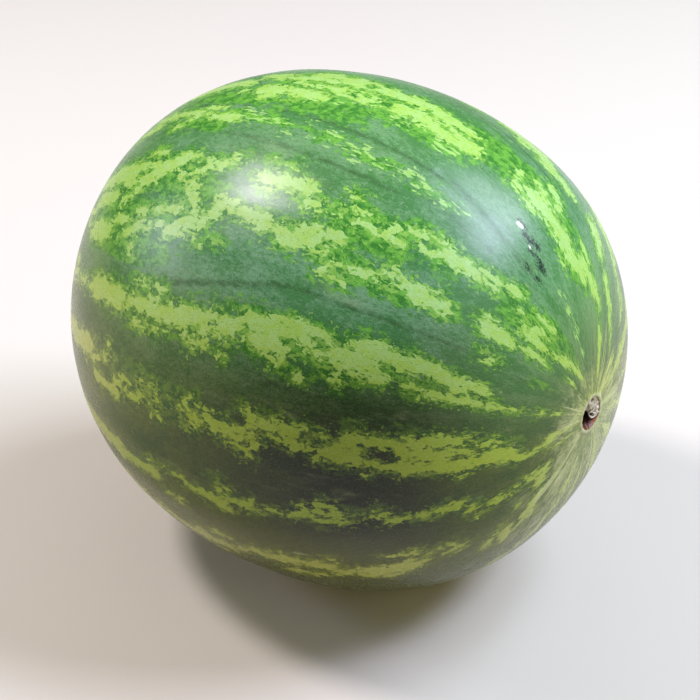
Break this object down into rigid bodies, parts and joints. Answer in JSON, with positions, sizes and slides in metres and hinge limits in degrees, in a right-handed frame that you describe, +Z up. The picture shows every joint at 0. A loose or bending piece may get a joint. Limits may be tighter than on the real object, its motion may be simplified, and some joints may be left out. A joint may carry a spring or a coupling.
{
  "type": "watermelon",
  "caption": "Whole striped watermelon lying on its side, barrel-shaped, with a torn stalk scar at one end and a small flat resting spot beneath.",
  "frame": {"origin": "on the resting surface, under the middle of the object's box", "axes": "+X along the fruit towards its stalk end, +Z up, +Y across the fruit"},
  "size_m": [0.2694, 0.2336, 0.2391],
  "materials": {
    "rind": "waxy semi-gloss rind, dark and mid green with ragged yellow-green stripes",
    "dry_stalk": "dry, matte, fibrous grey-beige cork"
  },
  "bodies": {
    "root": {"fruit": "rind", "stalk_remnant": "dry_stalk"}
  },
  "joints": []
}
